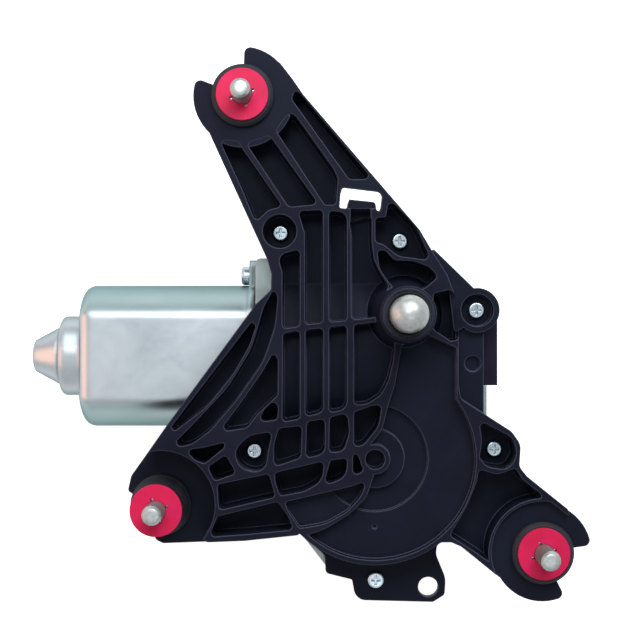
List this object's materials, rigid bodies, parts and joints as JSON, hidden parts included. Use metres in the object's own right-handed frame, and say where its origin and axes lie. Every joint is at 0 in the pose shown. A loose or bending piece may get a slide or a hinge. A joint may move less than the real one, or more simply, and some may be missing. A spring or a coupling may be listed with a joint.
{
  "type": "rear wiper motor",
  "caption": "Geared wiper motor: drawn steel motor can, die-cast worm gear case and ribbed black bracket with rubber mounts, driving an oscillating domed output shaft.",
  "frame": {"origin": "on the output shaft axis, in the mouth plane of the shaft tube", "axes": "+X to the right along the motor towards the connector, +Y up in the picture, +Z along the output shaft towards the wiper arm"},
  "size_m": [0.2306, 0.2251, 0.1062],
  "materials": {
    "black_nylon": "matt moulded, glass filled",
    "die_cast": "as cast",
    "zinc_steel": "zinc plated",
    "bright_steel": "polished",
    "plain_steel": "ground or stamped",
    "black_rubber": "matt",
    "red_plastic": "satin",
    "gear_plastic": "satin",
    "black_plastic": "satin",
    "copper": "enamelled or turned",
    "bronze": "sintered",
    "ferrite": "ground",
    "board_green": "lacquered"
  },
  "bodies": {
    "housing": {"bracket": "black_nylon", "gear_case": "die_cast", "case_seal": "black_rubber", "motor_can": "zinc_steel", "end_cap": "zinc_steel", "motor_gasket": "black_rubber", "motor_screws": "plain_steel", "cover_screws": "plain_steel", "magnets": "ferrite", "rear_bearing": "bronze", "mid_bearing": "bronze", "end_bearing": "bronze", "thrust_screw": "plain_steel", "thrust_pad": "black_plastic", "brush_holder": "black_plastic", "brushes": "ferrite", "brush_springs": "plain_steel", "wheel_axle": "plain_steel", "axle_clip": "plain_steel", "shaft_bushes": "bronze", "thrust_washer": "plain_steel", "shaft_seal": "black_rubber", "circuit_board": "board_green", "contact_springs": "copper", "connector": "black_plastic", "terminals": "copper", "grommets": "black_rubber", "sleeves": "plain_steel", "tall_collar": "black_rubber", "retaining_discs": "red_plastic", "studs": "bright_steel"},
    "armature": {"armature_shaft": "plain_steel", "armature_core": "plain_steel", "windings": "copper", "commutator": "copper"},
    "wheel": {"worm_wheel": "gear_plastic", "contact_ring": "copper", "crank_pin": "plain_steel"},
    "output": {"output_shaft": "bright_steel", "rocker_lever": "plain_steel", "rocker_pin": "plain_steel"},
    "rod": {"connecting_rod": "plain_steel"}
  },
  "joints": [
    {"name": "armature_spin", "type": "hinge", "parent": "housing", "child": "armature", "pos_m": [0, -0.0175, -0.0676], "axis": [1, 0, 0], "continuous": true},
    {"name": "wheel_spin", "type": "hinge", "parent": "housing", "child": "wheel", "pos_m": [-0.012, -0.058, -0.0676], "axis": [0, 0, 1], "continuous": true},
    {"name": "output_swing", "type": "hinge", "parent": "housing", "child": "output", "pos_m": [0, 0, 0], "axis": [0, 0, 1], "range_deg": [-48.6, 48.6]},
    {"name": "rod_swing", "type": "hinge", "parent": "output", "child": "rod", "pos_m": [0.01653, -0.00712, -0.056], "axis": [0, 0, 1], "range_deg": [-48.6, 48.6]}
  ],
  "couplings": [
    {"joint": "wheel_spin", "follows": "armature_spin", "ratio": 0.018519},
    {"joint": "rod_swing", "follows": "output_swing", "ratio": -1}
  ]
}
